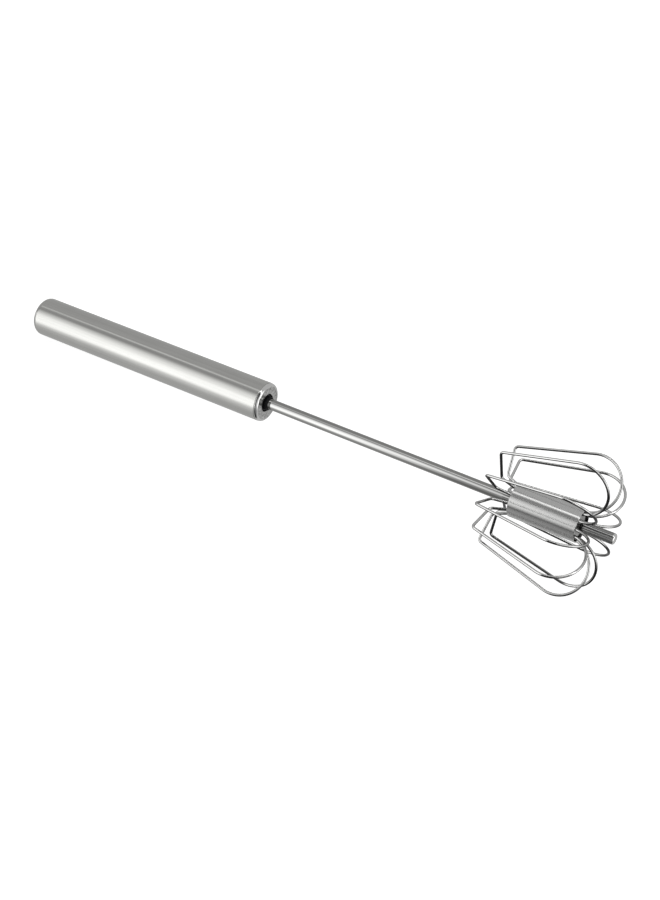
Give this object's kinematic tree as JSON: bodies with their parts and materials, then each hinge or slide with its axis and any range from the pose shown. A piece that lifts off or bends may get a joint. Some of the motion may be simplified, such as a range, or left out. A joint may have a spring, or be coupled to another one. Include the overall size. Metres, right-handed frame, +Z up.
{
  "type": "egg beater",
  "caption": "Push-action rotary whisk: tubular steel handle, sliding shaft that spins as the handle is pressed, and a head of bent wire loops round a collar.",
  "frame": {"origin": "centre of the handle's closed end face, on the tool's axis", "axes": "+X along the tool's axis from the handle's closed end to the foot, +Z up with the tool lying down, +Y to its left seen from the handle"},
  "size_m": [0.3653, 0.0742, 0.0749],
  "materials": {
    "brushed_steel": "brushed and polished stainless steel",
    "satin_steel": "satin stainless steel with polished edges",
    "polished_steel": "polished stainless steel",
    "wire_steel": "polished stainless spring wire",
    "spring_steel": "bright drawn spring wire",
    "black_plastic": "black moulded acetal",
    "white_plastic": "natural acetal",
    "brass": "turned brass",
    "bumper_rubber": "black rubber"
  },
  "bodies": {
    "handle": {"handle_tube": "brushed_steel", "handle_end_cap": "satin_steel", "guide_bush": "black_plastic", "stop_bumper": "bumper_rubber", "spiral_anchor": "brass", "anchor_pin": "polished_steel", "drive_spiral": "spring_steel", "upper_spring_seat": "white_plastic", "return_spring": "spring_steel"},
    "spring_follower": {"lower_spring_seat": "white_plastic", "thrust_washer": "black_plastic"},
    "whisk": {"drive_nut": "brass", "nut_rivets": "polished_steel", "shaft_tube": "polished_steel", "whisk_collar": "brushed_steel", "upper_wire_hub": "satin_steel", "lower_wire_hub": "satin_steel", "foot_pin": "polished_steel", "wire_loop_01": "wire_steel", "wire_loop_02": "wire_steel", "wire_loop_03": "wire_steel", "wire_loop_04": "wire_steel", "wire_loop_05": "wire_steel", "wire_loop_06": "wire_steel", "wire_loop_07": "wire_steel", "wire_loop_08": "wire_steel", "wire_loop_09": "wire_steel", "wire_loop_10": "wire_steel"}
  },
  "joints": [
    {"name": "handle_push", "type": "slide", "parent": "handle", "child": "spring_follower", "axis": [-1, 0, 0], "range_m": [0, 0.06], "stiffness_N_per_m": 216, "springref_m": -0.026, "deforming": ["return_spring"]},
    {"name": "whisk_spin", "type": "hinge", "parent": "spring_follower", "child": "whisk", "pos_m": [0.3, 0, 0], "axis": [-1, 0, 0], "range_deg": [0, 720.1]}
  ],
  "couplings": [
    {"joint": "whisk_spin", "follows": "handle_push", "rad_per_m": 209.44}
  ]
}
